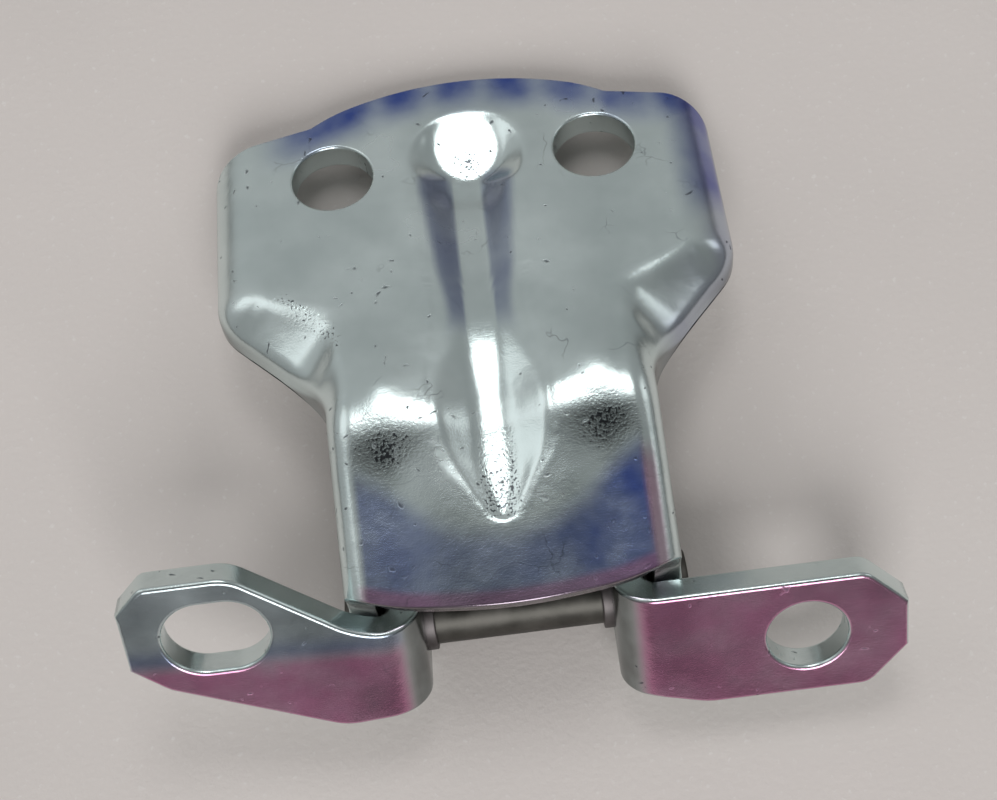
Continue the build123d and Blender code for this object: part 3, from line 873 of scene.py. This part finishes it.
def pressed(points, normals, rings, on_face):
    """Grid points and flat hole rings in one list, sunk by the groove and lifted by the press marks."""
    points = np.concatenate([points.reshape(-1, 3), rings])
    normals = np.concatenate([normals.reshape(-1, 3), np.tile([0.0, 0.0, 1.0], (len(rings), 1))])
    x, y = points[:, 0], points[:, 1]
    marks = press_marks(x, y) * smooth_step(normals[:, 2], 0.0, 0.9)
    points[:, 2] += marks - np.where(on_face, groove_depth(x, y), 0)
    return points, normals


def make_leaf():
    """The pressed leaf: surface, bolt holes, press forms, back face, rolled edges, tints and painted shade.
    """
    across, length = leaf_grid()
    face, face_normals = leaf_surface(across, length)
    back, back_normals = leaf_surface(across, length, inside=True)
    holes = [((sign * BOLT_SPACING / 2, BOLT_Y), hole_reach(BOLT_HOLE_R)) for sign in (1, -1)]
    added, quads, loops = grid_with_holes(face[..., :2], holes)
    rings = np.column_stack([added, np.full(len(added), PLATE_Z)])
    on_face = np.concatenate([np.abs(across).reshape(-1) <= 1, np.ones(len(rings), bool)])
    face, _ = pressed(face, face_normals, rings, on_face)
    back, back_normals = pressed(back, back_normals, rings, on_face)
    closed, faces, slants = close_sheet(face, back - LEAF_T * back_normals, quads, loops, LEAF_T)
    tints_and_shade = leaf_tints_and_shade(closed[:, 0], closed[:, 1], slants)
    make_piece("main_leaf_pressing", set_down(closed, leaf_axes), faces, leaf_zinc, "leaf", "main_leaf",
               tints_and_shade, slants @ leaf_axes)


# %% [markdown]
# ## Where the leaf is tinted, where shade is painted and where it is coarse
#
# The four attributes are drawn on the leaf's own board, as soft steps across its outlines. The panel is
# blue below an arched line and rose along its lower edge, and the far edge has blue streaks; these tints are
# partly film and partly painted reflection. Painted shade darkens the turned sides, the panel's lower lip
# and the groove's flanks. The coarse grain shows where the press stretched the sheet, and under the swells
# its dark specks paint a dark reflection.

# %% Leaf tints and painted shade
PANEL_BLUE_X = (0.0, 6.0, 12.0, 18.0, 24.3)
PANEL_BLUE_Y = (0.3, 1.2, 4.5, 9.5, 11.5)
PANEL_BLUE_EDGE = (-21.2, -20.2)
STRIP_DEPTH = (-9.0, -1.5)
STREAK_SPACING = 8.8
STREAK_PALE = 0.4
CORNER_BLUE = 0.92
SHOULDER_BLUE = 0.3
FLANK_ALONG = (30.0, 38.0, -65.5, -62.5)
FLANK_LEFT = 0.6
FLANK_RIGHT = 0.5
HEM_WIDTH = 2.6
HEM_ROSE = 0.62
LINE_ROSE = 0.6
SIDE_PAINTED_SHADE = 0.8
LIP_PAINTED_SHADE = 0.9
DART_COARSE = 0.62
SWELL_PAINTED_DARK = 0.78
DISH_COARSE = 0.66
SHOULDER_COARSE = 0.55
SWELL_DARK_Y = 14.0
SHOULDER_OUT = (0.755, 0.655)


def panel_low(x):
    """The panel's lower edge in plan, a shallow arc."""
    return panel_end[0] + PANEL_BULGE * (x / WAIST_HALF) ** 2


def groove_flanks(x, y, upward):
    """Amount of blue, partly film and partly painted reflection, on the flanks of the groove, from the neck
    to the head.
    """
    past_floor = smooth_step(np.abs(x) - np.interp(y, FLOOR_AT, FLOOR_HALF), -0.1, 0.5)
    in_groove = smooth_step(smooth_curve(y, GROOVE_AT, GROOVE_HALF) - np.abs(x), -0.8, 1.0)
    along = smooth_step(y, *FLANK_ALONG[:2]) * smooth_step(-y, *FLANK_ALONG[2:])
    amount = np.where(x < 0, FLANK_LEFT, FLANK_RIGHT) * smooth_step(upward, 0.0, 0.5)
    return past_floor * in_groove * along * amount


def right_shoulder(x, y, side):
    """Thin blue on the right-hand shoulder, where the sheet turns to the side: partly film, partly painted
    reflection.
    """
    place = smooth_step(x, 24.0, 30.0) * smooth_step(y, 20.0, 28.0)
    return SHOULDER_BLUE * place * smooth_step(side, 0.15, 0.6)


def blue_film_and_reflection(x, y, upward):
    """Blue, partly film and partly painted reflection, below an arched line on the panel, in streaks along
    the far edge and on the right-hand corner.
    """
    line = smooth_curve(np.abs(x), PANEL_BLUE_X, PANEL_BLUE_Y)
    panel = smooth_step(line - y, -2.5, 2.5) * smooth_step(-np.abs(x), *PANEL_BLUE_EDGE)
    panel = panel * (0.6 + 0.3 * smooth_step(x, 2, 17) + 0.05 * smooth_step(-x, 10, 18))
    pale = (0.5 - 0.5 * np.cos(2 * np.pi * x / STREAK_SPACING)) ** 2 * smooth_step(x, -20, -10)
    strip = smooth_step(y - far_edge(np.abs(x)), *STRIP_DEPTH) * (1.0 - STREAK_PALE * pale)
    strip = strip * smooth_step(x, -34, -22)
    corner = CORNER_BLUE * smooth_step(x, 31.0, 37.5) * smooth_step(y, 44.0, 56.0)
    return np.max([panel, strip, corner], axis=0) * smooth_step(upward, 0.0, 0.5)


def rose_film_and_reflection(x, y, side, upward):
    """Rose, partly film and partly painted reflection, along the panel's lower and right-hand edges, and a
    trace on the right-hand shoulder.
    """
    hem = smooth_step(panel_low(x) - y, -HEM_WIDTH, -HEM_WIDTH / 2) * smooth_step(-np.abs(x), -22.5, -20.5)
    line = smooth_step(x, 20.0, 20.8) * smooth_step(-x, -22.8, -21.6) * smooth_step(12.0 - y, 0.0, 5.0)
    rose = np.max([0.3 * right_shoulder(x, y, side), HEM_ROSE * hem, LINE_ROSE * line], axis=0)
    return rose * smooth_step(upward, -0.6, -0.3)


def coarse_grain_and_painted_dark(x, y, upward):
    """Coarse grain on the dart's floor, in the dish and along the left-hand shoulder, and under the swells,
    where its dark specks paint a dark reflection below the highlights.
    """
    dart = smooth_step(-np.abs(x), -3.6, -2.4) * smooth_step(-y, -24.0, -7.0) * smooth_step(y, 1.5, 4.0)
    swells = np.exp(-((np.abs(x) - SWELL_X) / 4.4) ** 2 - ((y - SWELL_DARK_Y) / 3.2) ** 2)
    dish = np.exp(-(np.hypot(x - DISH_AT[0], y - DISH_AT[1]) / 3.2) ** 2)
    past_line = (-x - WAIST_HALF) * SHOULDER_OUT[0] - (y - SHOULDER_LOW_Y) * SHOULDER_OUT[1]
    shoulder = np.exp(-((past_line + 8.0) / 2.0) ** 2) * smooth_step(-y, -48.0, -40.0)
    shoulder = shoulder * smooth_step(-x, 18.0, 22.0) * (upward > 0)
    return np.max([DART_COARSE * dart, SWELL_PAINTED_DARK * swells, DISH_COARSE * dish,
                   SHOULDER_COARSE * shoulder], axis=0)


def leaf_tints_and_shade(x, y, normals):
    """The four attributes; painted shade darkens the turned sides, the panel's lower lip and the groove's
    flanks.
    """
    side, upward = normals[:, 0], normals[:, 2]
    flank = groove_flanks(x, y, upward)
    blue = np.max([blue_film_and_reflection(x, y, upward), right_shoulder(x, y, side), flank], axis=0)
    rose = rose_film_and_reflection(x, y, side, upward)
    from_hole = np.hypot(np.abs(x) - BOLT_SPACING / 2, y - BOLT_Y) - BOLT_HOLE_R
    # Painted shade: the turned sides darken where they face sideways, the lower lip where it faces forwards.
    sides = SIDE_PAINTED_SHADE * (1 - smooth_step(np.abs(upward), 0.05, 0.5)) * smooth_step(from_hole, 0.6, 1.2)
    lip = LIP_PAINTED_SHADE * smooth_step(-normals[:, 1], 0.5, 0.75) * smooth_step(panel_low(x) - y, -1.2, -0.3)
    painted_shade = np.max([sides * (1 - rose), lip, 0.5 * flank], axis=0)
    return {"film_and_reflection_blue": blue, "film_and_reflection_rose": rose, "painted_shade": painted_shade, "grain_and_painted_dark": coarse_grain_and_painted_dark(x, y, upward)}


make_leaf()

# %% [markdown]
# ## The bracket
#
# The bracket is a strip folded like a hat: two tabs face forwards, each turns back into an ear, and a web
# joins the ears behind the pin. In plan that is one line with four bends. The sheet is the line drawn out
# upwards, between a lower and an upper outline that are read off along the fold. One tab is straight with
# a round hole, the other rises in a dog-leg with a slot.

# %% Bracket fold and outlines
BRACKET_T = 4.8
TAB_FRONT = 13.0
EAR_INNER = 14.0
WEB_Y = 6.2
WEB_LOW = 0.8
TAB_BEND_R = 6.4
TAB_END = 56.0
BUSH_R = 5.0
EAR_BOSS_R = 7.0
BOSS_TUCK = 3.0
WEB_BLEND = 1.6
FOLD_STEP = 0.05
RIGHT_TOP = ([(0, 8.0), (50.2, 8.0), (56.0, 2.2)], [3.0])
RIGHT_LOW = ([(0, -10.2), (18.8, -10.2), (26.3, -12.4), (50.2, -12.4), (55.4, -6.6), (56.0, -5.9)],
             [8.0, 10.0, 3.0, 0.5])
LEFT_TOP = ([(0, 8.0), (22.5, 8.0), (39.3, 21.1), (52.0, 21.1), (56.0, 17.1)], [12.0, 7.0, 2.0])
LEFT_LOW = ([(0, -7.6), (18.8, -7.6), (27.0, -8.2), (51.1, 2.6), (56.0, 6.9)], [6.0, 9.0, 4.0])

fold_line, _ = rounded_line(
    [(-TAB_END, -TAB_FRONT), (-EAR_INNER, -TAB_FRONT), (-EAR_INNER, WEB_Y), (EAR_INNER, WEB_Y),
     (EAR_INNER, -TAB_FRONT), (TAB_END, -TAB_FRONT)],
    [TAB_BEND_R, TAB_BEND_R - BRACKET_T, TAB_BEND_R - BRACKET_T, TAB_BEND_R])
fold_length = run_length(fold_line)
fold_length = fold_length - fold_length[-1] / 2
FOLD_HALF = fold_length[-1]


def outline_height(outline, x):
    """Height of a tab's outline over x, read from its rounded line."""
    line, _ = rounded_line(*outline)
    return np.interp(np.abs(x), line[:, 0], line[:, 1])


def on_fold(along):
    """Place in plan at each length along the fold."""
    return np.stack([np.interp(along, fold_length, fold_line[:, k]) for k in range(2)], -1)


def fold_outline(along):
    """Lower and upper edge of the folded strip at each length along the fold."""
    x, y = on_fold(along).T
    right = along > 0
    upper = np.where(right, outline_height(RIGHT_TOP, x), outline_height(LEFT_TOP, x))
    tab_low = np.where(right, outline_height(RIGHT_LOW, x), outline_height(LEFT_LOW, x))
    ear_low = np.interp(y, [TAB_BEND_R - TAB_FRONT, 0], [0, 1])
    ear_low = (1 - ear_low) * tab_low - ear_low * EAR_BOSS_R
    past_bend = np.maximum(y - (WEB_Y - TAB_BEND_R + BRACKET_T), 0)
    boss = -np.sqrt(np.maximum(EAR_BOSS_R ** 2 - (np.maximum(y, 0) + BOSS_TUCK * past_bend) ** 2, 0))
    lower = np.where(y < TAB_BEND_R - TAB_FRONT, tab_low, np.where(y < 0, ear_low, boss))
    web = smooth_step(-np.abs(x), -EAR_INNER, -EAR_INNER + WEB_BLEND) * (y > 0)
    return (1 - web) * lower + web * WEB_LOW, upper


def fold_surface(along, height):
    """Points and normals of the strip's front face: the fold in plan, drawn out upwards."""
    way = unit(on_fold(along + FOLD_STEP) - on_fold(along - FOLD_STEP))
    normal = np.stack([way[..., 1], -way[..., 0], np.zeros_like(along)], -1)
    return np.concatenate([on_fold(along), height[..., None]], -1), normal


# %% Bracket sheet
FOLD_COLUMNS = 190
HEIGHT_ROWS = 22
EDGE_SHARE = 0.12
SLOT_AT = (-42.8, 11.2)
SLOT_R = 6.0
SLOT_HALF = 1.7
HOLE_AT = (41.3, -1.9)
HOLE_R = mounts["tab_hole"]["dims"]["r_mm"]
BORE_R = 4.4
BRACKET_ROUND = 0.65
RAISED_LEAN = 0.05
RAISED_FROM = (4.5, 8.0)
BAND_AT = 7.6
BAND_WIDTH = 2.0
BAND_BLUE = 0.5
RAISED_BLUE = 0.16
RAISED_PAINTED_SHADE = 0.4
EAR_PAINTED_SHADE = 0.85
TAB_ROSE = 0.95


def fold_at(x):
    """Length along the fold of a point on a tab at the given x."""
    return np.sign(x) * (FOLD_HALF - TAB_END + np.abs(x))


on_ear = (np.abs(fold_line[:, 0] - EAR_INNER) < 0.05) & (np.abs(fold_line[:, 1]) < 1)
EAR_AT = np.interp(0, fold_line[on_ear, 1][::-1], fold_length[on_ear][::-1])


def bracket_tints_and_shade(x, z, normals):
    """Rose on the face that looks forwards, partly film and partly painted reflection, turning through blue
    to grey towards the raised end, and painted shade on the ears beside the pin."""
    front = smooth_step(-normals[:, 1], 0.7, 0.95)
    above = z - RAISED_LEAN * (np.abs(x) - 40)
    raised = smooth_step(above, *RAISED_FROM) * (x < 0)
    band = np.exp(-((above - BAND_AT) / BAND_WIDTH) ** 2)
    blue = front * (x < 0) * (BAND_BLUE * band + RAISED_BLUE * raised)
    ear = (1 - front) * smooth_step(-np.abs(x), -22.0, -18.5) * (np.abs(normals[:, 2]) < 0.5)
    painted_shade = np.maximum(EAR_PAINTED_SHADE * ear, RAISED_PAINTED_SHADE * raised * front)
    return {"film_and_reflection_rose": front * (1 - raised) * TAB_ROSE, "film_and_reflection_blue": blue, "painted_shade": painted_shade}


def make_bracket():
    """The folded bracket: grid, hole, slot, pin bores, back face, rolled edges, tints and painted shade."""
    inside = np.linspace(-FOLD_HALF + EDGE_ROW, FOLD_HALF - EDGE_ROW, FOLD_COLUMNS)
    along = np.concatenate([[-FOLD_HALF], inside, [FOLD_HALF]])
    share = np.concatenate([[0], np.linspace(EDGE_SHARE, 1 - EDGE_SHARE, HEIGHT_ROWS), [1]])
    lower, upper = fold_outline(along)
    height = lower + (upper - lower) * share[:, None]
    along = np.broadcast_to(along, height.shape)
    plan = np.stack([along, height], -1)
    holes = [((fold_at(HOLE_AT[0]), HOLE_AT[1]), hole_reach(HOLE_R)),
             ((fold_at(SLOT_AT[0]), SLOT_AT[1]), hole_reach(SLOT_R, SLOT_HALF)),
             ((EAR_AT, 0.0), hole_reach(BORE_R)),
             ((-EAR_AT, 0.0), hole_reach(BORE_R))]
    added, quads, loops = grid_with_holes(plan, holes)
    plan = np.concatenate([plan.reshape(-1, 2), added])
    face, normals = fold_surface(plan[:, 0], plan[:, 1])
    back = face - BRACKET_T * normals
    closed, faces, slants = close_sheet(face, back, quads, loops, BRACKET_T, BRACKET_ROUND)
    tints_and_shade = bracket_tints_and_shade(closed[:, 0], closed[:, 2], slants)
    make_piece("bracket_pressing", set_down(closed, bracket_axes), faces, bracket_zinc, "bracket", "bracket",
               tints_and_shade, slants @ bracket_axes)


make_bracket()

# %% [markdown]
# ## Pin and bushes
#
# The pin and the two collared bushes are turned parts, so each is a profile spun about the pin axis. The
# profile gives the distance along the axis and the radius at each corner, with small rounds between.

# %% Turned parts
PIN_R = 4.2
PIN_HEAD_R = 5.4
PIN_HEAD_T = 1.3
BUSH_BORE_R = 4.25
BUSH_STICK = 1.5
BUSH_COLLAR_R = 6.4
COLLAR_END = 19.6
SPIN_STEPS = 64


def spun(profile):
    """Profile of (along, radius) points spun about the pin axis, and the quads of its closed loop."""
    angle = np.linspace(0, 2 * np.pi, SPIN_STEPS, endpoint=False)
    along = np.broadcast_to(profile[:, 0], (SPIN_STEPS, len(profile)))
    y = np.cos(angle)[:, None] * profile[:, 1]
    z = np.sin(angle)[:, None] * profile[:, 1]
    points = np.stack([along, y, z], -1).reshape(-1, 3)
    index = np.arange(len(points)).reshape(SPIN_STEPS, len(profile))
    onward = np.roll(index, -1, axis=0)
    faces = np.stack([index, np.roll(index, -1, axis=1), np.roll(onward, -1, axis=1), onward], -1)
    return points, faces


def softened(corners, rounding):
    """A closed profile with every corner rounded: the line starts and ends in the middle of one side."""
    corners = np.array(corners, float)
    start = (corners[0] + corners[-1]) / 2
    line, _ = rounded_line([start, *corners, start], [rounding] * len(corners), step=0.12)
    return line[:-1]


head_end = WAIST_HALF + PIN_HEAD_T
pin_line, _ = rounded_line(
    [(-head_end, 0.2), (-head_end, PIN_HEAD_R), (-WAIST_HALF, PIN_HEAD_R), (-WAIST_HALF, PIN_R),
     (WAIST_HALF, PIN_R), (WAIST_HALF, PIN_HEAD_R), (head_end, PIN_HEAD_R), (head_end, 0.2)],
    [0.4, 0.2, 0.1, 0.1, 0.2, 0.4], step=0.1)
points, faces = spun(pin_line)
ends = [face.tolist() for face in (faces[:, 0, 0], faces[::-1, -1, 0])]
faces = faces[:, :-1].reshape(-1, 4).tolist() + ends
make_piece("pin_turned", set_down(points, leaf_axes), faces, pin_steel, "leaf", "pin")

bush_profile = [(EAR_INNER - BUSH_STICK, BUSH_BORE_R), (EAR_INNER - BUSH_STICK, BUSH_R),
                (EAR_INNER + BRACKET_T, BUSH_R), (EAR_INNER + BRACKET_T, BUSH_COLLAR_R),
                (COLLAR_END, BUSH_COLLAR_R), (COLLAR_END, BUSH_BORE_R)]
for side_name, sign in (("right", 1), ("left", -1)):
    points, faces = spun(softened([(sign * along, radius) for along, radius in bush_profile], 0.2))
    faces = faces.reshape(-1, 4)[:, ::sign].tolist()
    make_piece(f"bush_{side_name}_turned", set_down(points, bracket_axes), faces, bush_bronze, "bracket",
               f"bush_{side_name}")
